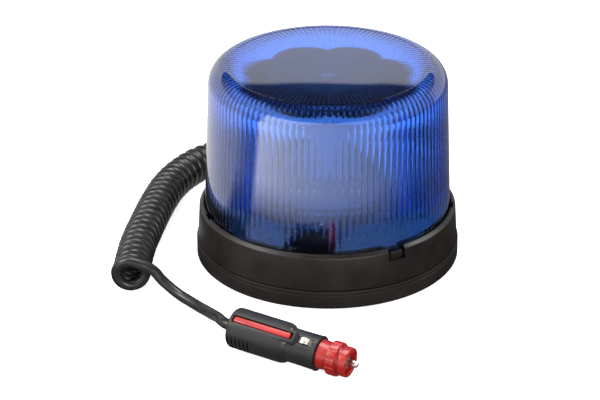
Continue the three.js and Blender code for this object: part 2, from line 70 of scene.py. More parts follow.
def finishPiece(bm, name, material, body, replaced=(), smooth=32, place=None):
    if place is not None:
        bmesh.ops.transform(bm, matrix=place, verts=bm.verts)
    mesh = bpy.data.meshes.new(name)
    bm.to_mesh(mesh)
    bm.free()
    return finishMesh(mesh, name, material, body, replaced, smooth)


def finishMesh(mesh, name, material, body, replaced=(), smooth=32):
    mesh.shade_smooth()
    mesh.set_sharp_from_angle(angle=math.radians(smooth))
    mesh.materials.clear()
    mesh.materials.append(material)
    piece = bpy.data.objects.new(name, mesh)
    bpy.context.scene.collection.objects.link(piece)
    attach(piece, body)
    if replaced:
        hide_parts(*replaced)
    return piece


# materials: one function turns hex to linear, one adds a node


def linear(hexColor, alpha=1.0):
    parts = [int(hexColor[i:i + 2], 16) / 255 for i in (1, 3, 5)]
    return (*[c / 12.92 if c < 0.04045 else ((c + 0.055) / 1.055) ** 2.4 for c in parts], alpha)


def addNode(tree, kind, inputs=None, **settings):
    node = tree.nodes.new(kind)
    for name, value in settings.items():
        setattr(node, name, value)
    for key, value in (inputs or {}).items():
        if isinstance(value, bpy.types.NodeSocket):
            tree.links.new(value, node.inputs[key])
        else:
            node.inputs[key].default_value = value
    return node


def newMaterial(name):
    material = bpy.data.materials.new(name)
    material.use_nodes = True
    tree = material.node_tree
    tree.nodes.clear()
    output = addNode(tree, "ShaderNodeOutputMaterial")
    where = addNode(tree, "ShaderNodeTexCoord").outputs["Object"]
    return material, tree, output, where


def joinShader(tree, output, inputs):
    shader = addNode(tree, "ShaderNodeBsdfPrincipled", inputs)
    tree.links.new(shader.outputs["BSDF"], output.inputs["Surface"])
    return shader


# moulded plastic and rubber: a spark-eroded mould leaves a fine pebble, drawn coarse enough to show


def moulded(name, dark, light, rough, grain, bump, blotch=18, spread=0.06, specular=0.5, coat=0.0):
    material, tree, output, where = newMaterial(name)
    pebble = addNode(tree, "ShaderNodeTexNoise", {"Vector": where, "Scale": 1 / (grain * mm), "Detail": 3})
    cloud = addNode(tree, "ShaderNodeTexNoise", {"Vector": where, "Scale": 1 / (blotch * mm), "Detail": 4})
    shade = addNode(tree, "ShaderNodeValToRGB", {"Fac": cloud.outputs["Fac"]})
    shade.color_ramp.elements[0].position = 0.35
    shade.color_ramp.elements[1].position = 0.7
    shade.color_ramp.elements[0].color = linear(dark)
    shade.color_ramp.elements[1].color = linear(light)
    gloss = addNode(tree, "ShaderNodeMapRange", {
        "Value": cloud.outputs["Fac"], "From Min": 0.3, "From Max": 0.7,
        "To Min": rough - spread, "To Max": rough + spread,
    })
    relief = addNode(tree, "ShaderNodeBump", {
        "Height": pebble.outputs["Fac"], "Strength": bump, "Distance": 0.1 * mm,
    })
    joinShader(tree, output, {
        "Base Color": shade.outputs["Color"], "Roughness": gloss.outputs["Result"],
        "Normal": relief.outputs["Normal"], "IOR": 1.5, "Specular IOR Level": specular,
        "Coat Weight": coat, "Coat Roughness": 0.25,
    })
    return material


housingAbs = moulded("housing_abs_moulded", "#1b1716", "#241f1e", 0.38, 0.9, 0.1, specular=0.3)
bootRubber = moulded("boot_epdm_moulded", "#1c1817", "#241f1d", 0.52, 1.3, 0.2, specular=0.22)
cordRubber = moulded(
    "cord_polyurethane_extruded", "#1f1d1c", "#2b2928", 0.3, 2.2, 0.12, blotch=9, specular=0.35,
)
plugNylon = moulded("plug_nylon_moulded", "#1d1c1d", "#272526", 0.42, 0.7, 0.2, specular=0.35)
plugRed = moulded("adapter_red_nylon_moulded", "#941815", "#ab241d", 0.32, 0.8, 0.1)
capAbs = moulded("cap_abs_moulded", "#141111", "#1d1919", 0.35, 1.1, 0.1, specular=0.25)

print("materials ready")

# cord: beacon tail, curly coil and plug tail in one length

cordSpec = {
    "radius": 3.4,
    "pitch": 7.35,
    "turnRadius": 8.6,
    "height": 12.2,
    "perTurn": 24,
    "lastTurn": 0.7,    # how much wider the last turn is
    "exit": (54.9, 95.1, 19.7),
}
beaconTail = [
    (54.9, 95.1, 19.7), (58.4, 101.3, 19.3), (61.4, 108, 18.6), (62.7, 115.5, 18), (61.4, 123, 17.9),
    (57.2, 129.4, 18.2), (51, 134, 19), (43.5, 136.6, 20),
]
coilRoute = [
    (34, 137), (8, 138.3), (-18, 136.8), (-44, 130.5), (-67, 120), (-84.5, 106.5), (-96.5, 89),
    (-104.6, 70), (-110, 49), (-114, 28), (-117.6, 6), (-120.8, -16), (-122.6, -39), (-123.5, -61.2),
]
plugTail = [
    (-118, -62.4, 20.9), (-112.6, -63, 19.1), (-108.3, -64.1, 16.6), (-103.9, -66.1, 12),
    (-98.4, -69.2, 8), (-92, -74, 5), (-85.2, -80.4, 3.8), (-79.2, -87.6, 3.7), (-74.2, -95.6, 4.9),
    (-70.4, -103.8, 7), (-67.8, -111.4, 9.6), (-66.2, -118.6, 12.2), (-64.8, -124.2, 13.8),
    (-62.9, -128.6, 14.7), (-60.6, -131.1, 14.8), (-57.7, -132.69, 14.6),
]


def smoothThrough(points, step):
    # evenly spaced points on a centripetal curve through the given ones
    pts = [Vector(p) for p in points]
    pts = [2 * pts[0] - pts[1], *pts, 2 * pts[-1] - pts[-2]]
    dense = []
    for a, b, c, d in zip(pts, pts[1:], pts[2:], pts[3:]):
        t1 = (b - a).length ** 0.5
        t2 = t1 + (c - b).length ** 0.5
        t3 = t2 + (d - c).length ** 0.5
        for i in range(24):
            t = t1 + (t2 - t1) * i / 24
            ab = a * ((t1 - t) / t1) + b * (t / t1)
            bc = b * ((t2 - t) / (t2 - t1)) + c * ((t - t1) / (t2 - t1))
            cd = c * ((t3 - t) / (t3 - t2)) + d * ((t - t2) / (t3 - t2))
            abc = ab * ((t2 - t) / t2) + bc * (t / t2)
            bcd = bc * ((t3 - t) / (t3 - t1)) + cd * ((t - t1) / (t3 - t1))
            dense.append(abc * ((t2 - t) / (t2 - t1)) + bcd * ((t - t1) / (t2 - t1)))
    dense.append(pts[-2])
    return evenly(dense, step)


def evenly(line, step):
    along = [0.0]
    for a, b in zip(line, line[1:]):
        along.append(along[-1] + (b - a).length)
    count = max(2, round(along[-1] / step))
    spaced, k = [], 0
    for i in range(count + 1):
        want = along[-1] * i / count
        while k < len(along) - 2 and along[k + 1] < want:
            k += 1
        share = (want - along[k]) / max(along[k + 1] - along[k], 1e-9)
        spaced.append(line[k].lerp(line[k + 1], share))
    return spaced


def coilTurns(spec):
    # the helix: it ends at the top of its last turn
    middle = smoothThrough([(x, y, spec["height"]) for x, y in coilRoute], 1.0)
    length = sum((b - a).length for a, b in zip(middle, middle[1:]))
    turns = round(length / spec["pitch"])
    count = turns * spec["perTurn"]
    line = evenly(middle, length / count)
    helix = []
    for i, centre in enumerate(line):
        ahead = (line[min(i + 1, len(line) - 1)] - line[max(i - 1, 0)]).normalized()
        side = Vector((0, 0, 1)).cross(ahead)
        angle = 2 * math.pi * (i - count) / spec["perTurn"]
        wider = spec["lastTurn"] * max(0, 1 - (count - i) / (1.4 * spec["perTurn"]))
        reach = spec["turnRadius"] + wider
        up = Vector((0, 0, 1))
        helix.append(centre + up * wider + reach * (math.cos(angle) * up + math.sin(angle) * side))
    return helix, turns


def makeCord(spec):
    helix, turns = coilTurns(spec)
    lead = smoothThrough([*beaconTail, tuple(helix[0]), tuple(helix[1])], 2.5)
    tail = smoothThrough([tuple(helix[-2]), tuple(helix[-1]), *plugTail], 2.0)
    line = [*lead[:-1], *helix[1:-1], *tail[1:]]
    curve = bpy.data.curves.new("curly_cord", "CURVE")
    curve.dimensions = "3D"
    curve.bevel_depth = spec["radius"] * mm
    curve.bevel_resolution = 4
    curve.use_fill_caps = True
    spline = curve.splines.new("POLY")
    spline.points.add(len(line) - 1)
    for spot, p in zip(spline.points, line):
        spot.co = (*(p * mm), 1)
    curve.materials.append(cordRubber)
    cord = bpy.data.objects.new("curly_cord", curve)
    bpy.context.scene.collection.objects.link(cord)
    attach(cord, "base")
    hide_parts("cord_tail_beacon", "cord_coil", "cord_tail_plug")
    length = sum((b - a).length for a, b in zip(line, line[1:])) * mm
    print("cord", round(length, 3), "m in", turns, "turns")
    return cord, length


cord, cordLength = makeCord(cordSpec)

# modelling helpers: profiles are (radius, height) in mm and are spun about Z


def spinProfile(points, steps, closed=True):
    bm = bmesh.new()
    ring = [bm.verts.new((r * mm, 0, z * mm)) for r, z in points]
    pairs = list(zip(ring, ring[1:]))
    if closed:
        pairs.append((ring[-1], ring[0]))
    edges = [bm.edges.new(pair) for pair in pairs]
    bmesh.ops.spin(
        bm, geom=[*ring, *edges], cent=(0, 0, 0), axis=(0, 0, 1), angle=2 * math.pi,
        steps=steps, use_merge=True, use_duplicate=False,
    )
    bmesh.ops.remove_doubles(bm, verts=bm.verts, dist=0.001 * mm)
    bmesh.ops.recalc_face_normals(bm, faces=bm.faces)
    return bm


def rounded(points, radius, steps=4):
    # the closed profile again, with an arc at each corner that bends; corners on the axis stay
    result = []
    count = len(points)
    for i, corner in enumerate(points):
        here = Vector(corner)
        before, after = Vector(points[i - 1]) - here, Vector(points[(i + 1) % count]) - here
        cut = min(radius, before.length * 0.45, after.length * 0.45)
        if corner[0] < 0.01 or abs(before.normalized().dot(after.normalized())) > 0.985:
            result.append(tuple(corner))
            continue
        a, b = here + before.normalized() * cut, here + after.normalized() * cut
        for k in range(steps + 1):
            t = k / steps
            result.append(tuple(a.lerp(here, t).lerp(here.lerp(b, t), t)))
    return result


def arcPoints(cx, cy, radius, start, end, steps):
    angles = [math.radians(start + (end - start) * i / steps) for i in range(steps + 1)]
    return [(cx + radius * math.cos(a), cy + radius * math.sin(a)) for a in angles]


def soften(bm, width, segments=2, angle=30):
    sharp = [e for e in bm.edges if len(e.link_faces) == 2 and e.calc_face_angle(0) > math.radians(angle)]
    bmesh.ops.bevel(
        bm, geom=sharp, offset=width * mm, offset_type="OFFSET", segments=segments, profile=0.5,
        affect="EDGES", clamp_overlap=True, material=-1,
    )


def brick(low, high, edge=0.0, segments=2):
    bm = bmesh.new()
    bmesh.ops.create_cube(bm, size=1)
    size = Vector(high) - Vector(low)
    bmesh.ops.scale(bm, vec=size * mm, verts=bm.verts)
    bmesh.ops.translate(bm, vec=(Vector(high) + Vector(low)) / 2 * mm, verts=bm.verts)
    if edge:
        soften(bm, edge, segments)
    return bm


def roundBar(radius, low, high, sides=32):
    return spinProfile([(0, low), (radius, low), (radius, high), (0, high)], sides, closed=False)


def turnedBy(bm, degrees, axis="Z"):
    bmesh.ops.transform(bm, matrix=Matrix.Rotation(math.radians(degrees), 4, axis), verts=bm.verts)
    return bm


def movedBy(bm, x=0, y=0, z=0):
    bmesh.ops.translate(bm, vec=Vector((x, y, z)) * mm, verts=bm.verts)
    return bm


def joined(*parts):
    # several closed shapes in one bmesh
    whole = bmesh.new()
    for part in parts:
        mesh = bpy.data.meshes.new("part")
        part.to_mesh(mesh)
        whole.from_mesh(mesh)
        bpy.data.meshes.remove(mesh)
        part.free()
    return whole


def holderOf(bm, name):
    mesh = bpy.data.meshes.new(name)
    bm.to_mesh(mesh)
    bm.free()
    holder = bpy.data.objects.new(name, mesh)
    bpy.context.scene.collection.objects.link(holder)
    return holder


def carved(bm, cutters, operation="DIFFERENCE"):
    # the body less each cutter, as a new bmesh
    body = holderOf(bm, "body")
    tools = [holderOf(cutter, "cutter") for cutter in cutters]
    for tool in tools:
        change = body.modifiers.new("cut", "BOOLEAN")
        change.operation = operation
        change.solver = "EXACT"
        change.object = tool
    bpy.context.view_layer.update()
    result = bmesh.new()
    result.from_object(body, bpy.context.evaluated_depsgraph_get())
    for thing in (body, *tools):
        mesh = thing.data
        bpy.data.objects.remove(thing)
        bpy.data.meshes.remove(mesh)
    bmesh.ops.remove_doubles(result, verts=result.verts, dist=0.002 * mm)
    return result


# lens: blue polycarbonate dome with flutes inside it

lens = {
    "bottom": 30,
    "bottomRadius": 78.6,
    "topRadius": 75.5,
    "shoulder": 12,
    "shoulderHeight": 117.3,
    "top": 130,
    "wall": 2.6,
    "flutes": 120,
    "perFlute": 8,
    "fluteDepth": 0.38,
    "fluteStart": 52,
    "discRadius": 60,
    "crownRadius": 40,
    "crownDrop": 0.22,
    "lugAngles": (90, -12, 192),
    "lugWidth": 6.8,
    "lugThick": 2,
    "lugReach": 1.4,
}


def blueLens():
    # clear polycarbonate tinted in the mass: deeper blue where the wall is thick, with a hard gloss
    material, tree, output, where = newMaterial("lens_polycarbonate_tinted")
    wave = addNode(tree, "ShaderNodeTexNoise", {"Vector": where, "Scale": 1 / (20 * mm), "Detail": 0})
    relief = addNode(tree, "ShaderNodeBump", {
        "Height": wave.outputs["Fac"], "Strength": 0.03, "Distance": 0.5 * mm,
    })
    joinShader(tree, output, {
        "Base Color": linear("#ffffff"), "Roughness": 0.02, "IOR": 1.585, "Transmission Weight": 1.0,
        "Coat Weight": 1.0, "Coat IOR": 1.7, "Coat Roughness": 0.015, "Normal": relief.outputs["Normal"],
        "Coat Normal": relief.outputs["Normal"],
    })
    tint = addNode(tree, "ShaderNodeVolumeAbsorption", {"Color": (0.16, 0.54, 0.93, 1), "Density": 600.0})
    tree.links.new(tint.outputs["Volume"], output.inputs["Volume"])
    return material


def lensProfile(spec):
    centre = spec["topRadius"] - spec["shoulder"]
    outer = arcPoints(centre, spec["shoulderHeight"], spec["shoulder"], 0, 90, 12)
    inner = arcPoints(centre, spec["shoulderHeight"], spec["shoulder"] - spec["wall"], 90, 0, 12)
    side = spec["bottomRadius"] - spec["wall"]
    # rings down the wall inside: even ones through the flutes, then close ones where the flutes run out
    rings = [spec["shoulderHeight"] - 9 * i for i in range(1, 7)] + [56, 54, 53, 44]
    slope = (spec["bottomRadius"] - spec["topRadius"]) / (spec["shoulderHeight"] - spec["bottom"])
    wallInside = [(side - slope * (z - spec["bottom"]), z) for z in rings]
    crown, edge = spec["top"], spec["top"] - spec["crownDrop"]
    roof = [(0, crown), (0, crown - spec["wall"])]
    wallOutside = [(spec["bottomRadius"] - slope * (z - spec["bottom"]), z) for z in (30, 30.8, 116.7)]
    ringGroove = [(63.1, 129.31), (62.9, 129.1), (62.3, 129.1), (62.1, 129.34)]
    return [
        (side, spec["bottom"]), *wallOutside, *outer, *ringGroove, (spec["crownRadius"], edge), *roof,
        (spec["crownRadius"], edge - spec["wall"]), (59, inner[0][1] + 0.02), *inner, *wallInside,
    ]


def fluteShape(x, y):
    # inward bulges that meet in sharp valleys
    turn = math.atan2(y, x) / (2 * math.pi) * lens["flutes"]
    return abs(math.sin(math.pi * turn))


def makeLens(spec):
    steps = spec["flutes"] * spec["perFlute"]
    bm = spinProfile(lensProfile(spec), steps)
    centre = spec["topRadius"] - spec["shoulder"]
    for v in bm.verts:
        p = v.co / mm
        reach = math.hypot(p.x, p.y)
        outside = spec["bottomRadius"] - (spec["bottomRadius"] - spec["topRadius"]) * (
            (p.z - spec["bottom"]) / (spec["shoulderHeight"] - spec["bottom"]))
        onWall = p.z <= spec["shoulderHeight"] + 0.01 and reach < outside - 1
        fromCorner = math.hypot(reach - centre, p.z - spec["shoulderHeight"])
        inCorner = p.z > spec["shoulderHeight"] and fromCorner < spec["shoulder"] - 1
        onShoulder = inCorner and spec["discRadius"] < reach
        if not (onWall or onShoulder) or p.z < spec["fluteStart"] - 0.5:
            continue
        depth = spec["fluteDepth"] * fluteShape(p.x, p.y)
        if onWall:
            away = Vector((-p.x / reach, -p.y / reach, 0))
        else:
            across = Vector((p.x / reach, p.y / reach, 0)) * (reach - centre) / fromCorner
            away = -(across + Vector((0, 0, (p.z - spec["shoulderHeight"]) / fromCorner)))
        v.co += away * depth * mm
    lugs = []
    r, z, half = spec["bottomRadius"], spec["bottom"], spec["lugWidth"] / 2
    for angle in spec["lugAngles"]:
        lug = brick((r - 0.6, -half, z), (r + spec["lugReach"], half, z + spec["lugThick"]))
        lugs.append(turnedBy(lug, angle))
    bm = joined(bm, *lugs)
    return finishPiece(
        bm, "lens_dome_clear", blueLens(), "lens", ["lens_dome"], smooth=28,
    )


lensPiece = makeLens(lens)
print("lens ready")

# housing and boot

housing = {
    "bottom": 12.3,
    "top": 36,
    "bottomRadius": 83.2,
    "topRadius": 82,
    "chamfer": 2.1,
    "floor": 14.8,
    "inner": 80.6,
    "shelf": (72, 24.6, 27.2),    # inner radius, bottom, top
    "lip": (79, 32.5),            # inner radius, bottom
    "channel": 80.9,
    "notchAngle": -58.7,
    "gapTurn": 6.5,               # from a lug to its gap in the lip
    "exitAngle": 60,
    "exitHeight": 19.7,
    "exitRadius": 4.8,
    "screwCircle": 32,
    "screwAngles": (60, 180, 300),
}


def makeHousing(spec):
    r, t, low, high = spec["bottomRadius"], spec["topRadius"], spec["bottom"], spec["top"]
    shelf, shelfBottom, shelfTop = spec["shelf"]
    lip, lipBottom = spec["lip"]
    profile = rounded([
        (0, low), (r - 0.4, low), (r, low + 0.4), (t, high - spec["chamfer"]), (t - spec["chamfer"], high),
        (lip, high), (lip, lipBottom), (spec["channel"], lipBottom), (spec["channel"], shelfTop),
        (shelf, shelfTop), (shelf, shelfBottom), (spec["inner"], shelfBottom),
        (spec["inner"], spec["floor"]), (0, spec["floor"]),
    ], 0.5)
    bm = spinProfile(profile, 192, closed=False)
    notch = brick((77.5, -6, 27.8), (85, 6, 40))
    well = brick((78.8, -4.3, 24), (80.7, 4.3, 40))
    cutters = [turnedBy(notch, spec["notchAngle"]), turnedBy(well, spec["notchAngle"])]
    for angle in lens["lugAngles"]:
        cutters.append(turnedBy(brick((77.5, -4.3, 32), (80.4, 4.3, 40)), angle + spec["gapTurn"]))
    hole = turnedBy(roundBar(spec["exitRadius"], 72, 86), 90, "Y")
    cutters.append(turnedBy(movedBy(hole, z=spec["exitHeight"]), spec["exitAngle"]))
    for angle in spec["screwAngles"]:
        cutters.append(turnedBy(movedBy(roundBar(2.1, 10, 20), x=spec["screwCircle"]), angle))
    ventHole = roundBar(3.9, 10, 20)
    cutters.append(ventHole)
    bm = carved(bm, cutters)
    return finishPiece(bm, "housing_shell", housingAbs, "base", ["base_housing"])


boot = {"radius": 84, "height": 12, "inner": 81.5, "floor": 2, "opening": 40, "chamfer": 1.4, "line": 9.65}


def makeBoot(spec):
    r, line = spec["radius"], spec["line"]
    profile = rounded([
        (spec["opening"], 0), (r - spec["chamfer"], 0), (r, spec["chamfer"]), (r, line - 0.35),
        (r - 0.2, line - 0.15), (r - 0.2, line + 0.15), (r, line + 0.35), (r, spec["height"]),
        (spec["inner"], spec["height"]), (spec["inner"], spec["floor"]), (spec["opening"], spec["floor"]),
    ], 0.5)
    bm = spinProfile(profile, 192)
    return finishPiece(bm, "boot_ring", bootRubber, "base", ["foot_boot"])


def makeCatch():
    tab = brick((79.4, -4, 29.6), (81.5, 4, 33.6), 0.5, 3)
    stem = brick((79.1, -3.9, 27.5), (80.3, 3.9, 33), 0.2)
    bm = turnedBy(joined(tab, stem), housing["notchAngle"])
    return finishPiece(bm, "catch_tab", housingAbs, "catch", ["lens_catch"])


makeHousing(housing)
makeBoot(boot)
makeCatch()
print("housing ready")

# light unit seen through the lens

lobes = {"count": 8, "centre": 34, "radius": 21}
horn = {
    "bottom": 56.6,
    "top": 112.2,
    "foot": 0.3,      # share of the top's width
    "steps": 20,
    "around": 256,
    "rim": 1.045,     # the rim stands round the cap's edge
    "rimTop": 117,
}
cap = {
    "bottom": 112.5,
    "top": 117.5,
    "edge": 0.9,
    "reach": 50,      # mean distance of its outline from the axis
    "around": 384,
    "ribs": 72,
    "ribStart": 16,
    "ribHalf": 0.35,
    "hub": 14,
}


def lobedReach(angle):
    # distance from the axis to the lobed outline at that angle
    half = math.pi / lobes["count"]
    off = (angle % (2 * half)) - half
    across = lobes["centre"] * math.sin(off)
    return lobes["centre"] * math.cos(off) + math.sqrt(lobes["radius"] ** 2 - across ** 2)


def lobedCircle(bm, around, height, scale=1.0, inset=0.0):
    made = bmesh.ops.create_circle(bm, cap_ends=False, radius=1, segments=around)
    for v in made["verts"]:
        angle = math.atan2(v.co.y, v.co.x)
        reach = (lobedReach(angle) * scale - inset) * mm
        v.co = Vector((math.cos(angle) * reach, math.sin(angle) * reach, height * mm))
    return list({e for v in made["verts"] for e in v.link_edges})


def raiseRing(bm, edges, height, factor):
    made = bmesh.ops.extrude_edge_only(bm, edges=edges)["geom"]
    verts = [g for g in made if isinstance(g, bmesh.types.BMVert)]
    bmesh.ops.scale(bm, vec=(factor, factor, 1), verts=verts)
    for v in verts:
        v.co.z = height * mm
    return [g for g in made if isinstance(g, bmesh.types.BMEdge)]


def hornScale(height):
    rise = (height - horn["bottom"]) / (horn["top"] - horn["bottom"])
    return horn["foot"] + (1 - horn["foot"]) * rise ** 2


def makeReflector(material):
    bm = bmesh.new()
    step = (horn["top"] - horn["bottom"]) / horn["steps"]
    heights = [horn["bottom"] + step * i for i in range(horn["steps"])] + [horn["top"]]
    edges = lobedCircle(bm, horn["around"], heights[0], hornScale(heights[0]))
    bmesh.ops.contextual_create(bm, geom=edges)
    for low, high in zip(heights, heights[1:]):
        edges = raiseRing(bm, edges, high, hornScale(high) / hornScale(low))
    edges = raiseRing(bm, edges, horn["top"] + 0.2, horn["rim"])
    raiseRing(bm, edges, horn["rimTop"], 1.004)
    bmesh.ops.recalc_face_normals(bm, faces=bm.faces)
    bmesh.ops.solidify(bm, geom=bm.faces, thickness=1.6 * mm)
    bmesh.ops.recalc_face_normals(bm, faces=bm.faces)
    return finishPiece(
        bm, "reflector_flare", material, "base", ["reflector"], smooth=60,
    )


def makeCap(material):
    bm = bmesh.new()
    edges = lobedCircle(bm, cap["around"], cap["bottom"])
    bmesh.ops.contextual_create(bm, geom=edges)
    edges = raiseRing(bm, edges, cap["top"] - cap["edge"], 1)
    edges = raiseRing(bm, edges, cap["top"], 1 - cap["edge"] / cap["reach"])
    bmesh.ops.contextual_create(bm, geom=edges)
    bmesh.ops.recalc_face_normals(bm, faces=bm.faces)
    ribs = []
    for i in range(cap["ribs"]):
        angle = 360 * (i + 0.5) / cap["ribs"]
        end = lobedReach(math.radians(angle)) - 2.5
        half = cap["ribHalf"]
        rib = brick((cap["ribStart"], -half, cap["top"] - 0.4), (end, half, cap["top"] + 0.8))
        ribs.append(turnedBy(rib, angle))
    low, high = cap["top"] - 0.5, cap["top"] + 0.7
    disc = rounded([(0, low), (cap["hub"], low), (cap["hub"], high), (0, high)], 0.3)
    bm = joined(bm, spinProfile(disc, 64, closed=False), *ribs)
    return finishPiece(bm, "cap_lobed", material, "base", ["reflector_cap"])


def mirrorCoat():
    # satin-metallised plastic: bright from every side, with the soft orange peel of the lacquer under it
    material, tree, output, where = newMaterial("reflector_satin_metallised")
    peel = addNode(tree, "ShaderNodeTexNoise", {"Vector": where, "Scale": 1 / (3 * mm), "Detail": 2})
    relief = addNode(tree, "ShaderNodeBump", {
        "Height": peel.outputs["Fac"], "Strength": 0.12, "Distance": 0.2 * mm,
    })
    joinShader(tree, output, {
        "Base Color": linear("#f4f6f8"), "Metallic": 0.3, "Roughness": 0.3,
        "Normal": relief.outputs["Normal"],
    })
    return material


makeReflector(mirrorCoat())
makeCap(capAbs)
print("light unit ready")

# plug: made along X from its rear face, then laid on the floor

plug = {
    "rear": (-57.3, -132.9),
    "heading": -28.2,
    "roll": 34,
    "tilt": math.degrees(math.atan(2 / 36.5)),
    "rest": 0.1,
    "grip": 12.5,
    "gripEnd": 36,
    "neck": 10.5,
    "neckEnd": 59,
    "nose": 6,
    "noseEnd": 73.5,
    "noseBore": 3.5,
    "contactSlot": (45.8, 56.2, 2.4, 7.5),    # start, end, half width, floor
    "grooves": 6,
    "groovePitch": 2.7,
    "grooveTurn": 82,
    "scallops": 12,
}


def plugPlace(spec):
    tilt = math.radians(spec["tilt"])
    height = spec["rest"] + spec["grip"] * math.cos(tilt) + spec["gripEnd"] * math.sin(tilt)
    turn = Matrix.Rotation(math.radians(spec["heading"]), 4, "Z") @ Matrix.Rotation(tilt, 4, "Y")
    return Matrix.Translation(Vector((*spec["rear"], height)) * mm) @ turn @ Matrix.Rotation(
        math.radians(spec["roll"]), 4, "X")


place = plugPlace(plug)


def spinAlong(profile, sides=72, closed=True):
    return turnedBy(spinProfile(profile, sides, closed), 90, "Y")


def makePlugHousing(spec):
    grip, neck, nose, bore = spec["grip"], spec["neck"], spec["nose"], spec["noseBore"]
    gripEnd, neckEnd, noseEnd = spec["gripEnd"], spec["neckEnd"], spec["noseEnd"]
    profile = rounded([
        (0, 0), (grip - 1.3, 0), (grip, 1.6), (grip, gripEnd - 0.5), (grip - 0.6, gripEnd + 1.6),
        (neck, gripEnd + 3.6), (neck - 0.05, gripEnd + 9), (neck + 0.2, neckEnd - 0.1), (nose, neckEnd),
        (nose, noseEnd), (bore, noseEnd), (bore, neckEnd + 1), (0, neckEnd + 1),
    ], 0.8)
    body = spinAlong(profile, 96, closed=False)
    collar = spinAlong(rounded([(9, 58), (10.9, 58), (10.9, 58.9), (9, 58.9)], 0.3), 96)
    raised = brick((30, -4.5, 6), (45, 4.5, 12.2), 1.2, 4)
    body = carved(body, [raised, collar], "UNION")
    start, end, half, deep = spec["contactSlot"]
    cutters = [
        brick((2.6, -2.5, 6.8), (43, 2.5, 16), 0.4),
        brick((start, -half, deep), (end, half, 14), 0.3),
        brick((start, -half, -14), (end, half, -deep), 0.3),
    ]
    for side in (-1, 1):
        for i in range(spec["grooves"]):
            x = 1.6 + spec["groovePitch"] * i
            groove = brick((x, 11, -7.5), (x + 1.3, 15, 7.5), 0.2)
            cutters.append(turnedBy(groove, 90 + side * spec["grooveTurn"], "X"))
    body = carved(body, cutters)
    return finishPiece(body, "plug_grip", plugNylon, "base", ["plug_housing"], place=place)


def makeClampBar():
    bm = brick((3.2, -1.9, 8), (41.4, 1.9, 12.1), 0.9, 4)
    return finishPiece(bm, "clamp_bar_red", plugRed, "plug_clamp", ["clamp_bar"], place=place)


def makeSleeve(spec):
    profile = rounded([
        (6.4, 59.3), (9.2, 59.3), (8.5, 66.5), (10.5, 66.5), (10.5, 72.5), (8.5, 72.5), (8.5, 74.5),
        (9.2, 74.5), (9.2, 79), (6.4, 79),
    ], 0.6)
    body = spinAlong(profile, 96)
    cutters = [brick((74.6, -8, -2.5), (80, 8, 2.5), 0.4)]
    for i in range(spec["scallops"]):
        scallop = movedBy(turnedBy(roundBar(1.5, 65.5, 73.5, 24), 90, "Y"), z=11.6)
        cutters.append(turnedBy(scallop, 360 / spec["scallops"] * i, "X"))
    body = carved(body, cutters)
    return finishPiece(
        body, "adapter_ring", plugRed, "plug_adapter", ["adapter_sleeve"], place=place,
    )


makePlugHousing(plug)
makeClampBar()
makeSleeve(plug)
print("plug ready")

# metals and small parts keep the CAD shapes


def metal(name, color, rough, brush=0.0, cloud=0.05):
    # plated or brushed: the colour drifts a little, and fine lines run round the piece
    material, tree, output, where = newMaterial(name)
    drift = addNode(tree, "ShaderNodeTexNoise", {"Vector": where, "Scale": 1 / (5 * mm), "Detail": 4})
    gloss = addNode(tree, "ShaderNodeMapRange", {
        "Value": drift.outputs["Fac"], "From Min": 0.3, "From Max": 0.7, "To Min": rough - cloud,
        "To Max": rough + cloud,
    })
    stretch = addNode(tree, "ShaderNodeMapping", {"Vector": where, "Scale": (1, 1, 12)})
    lines = addNode(tree, "ShaderNodeTexNoise", {
        "Vector": stretch.outputs["Vector"], "Scale": 1 / (1.2 * mm), "Detail": 3,
    })
    relief = addNode(tree, "ShaderNodeBump", {
        "Height": lines.outputs["Fac"], "Strength": brush, "Distance": 0.05 * mm,
    })
    joinShader(tree, output, {
        "Base Color": linear(color), "Metallic": 1.0, "Roughness": gloss.outputs["Result"],
        "Normal": relief.outputs["Normal"],
    })
    return material


zinc = metal("steel_zinc_plated", "#b9bab6", 0.32, 0.1)
springSteel = metal("steel_spring_bright", "#9fa0a2", 0.3, 0.1)
nickel = metal("brass_nickel_plated", "#e6e2d8", 0.26, 0.06)
castAluminium = metal("aluminium_die_cast", "#b4b7ba", 0.45, 0.15)
ferrite = moulded("ferrite_sintered", "#2b2b2d", "#3a3a3c", 0.6, 0.6, 0.3)
sealRubber = moulded("seal_silicone_moulded", "#1a1a1a", "#242424", 0.55, 0.8, 0.1)
boardGreen = moulded("board_solder_resist", "#12472c", "#1a5a38", 0.35, 1.2, 0.1)
boardPale = moulded("board_pale_resist", "#7c8386", "#8b9295", 0.4, 1.2, 0.08, specular=0.3)
partBlack = moulded("component_epoxy_moulded", "#1b1b1c", "#262628", 0.4, 0.6, 0.15)
terminalGrey = moulded("terminal_polyamide_moulded", "#c9ccc8", "#d6d8d4", 0.45, 0.7, 0.1)
phosphor = moulded("led_phosphor_silicone", "#e2dcae", "#ebe6c2", 0.25, 0.6, 0.05)
fuseGlass = moulded("fuse_glass_drawn", "#cfd6d8", "#dfe5e7", 0.1, 2, 0.02)

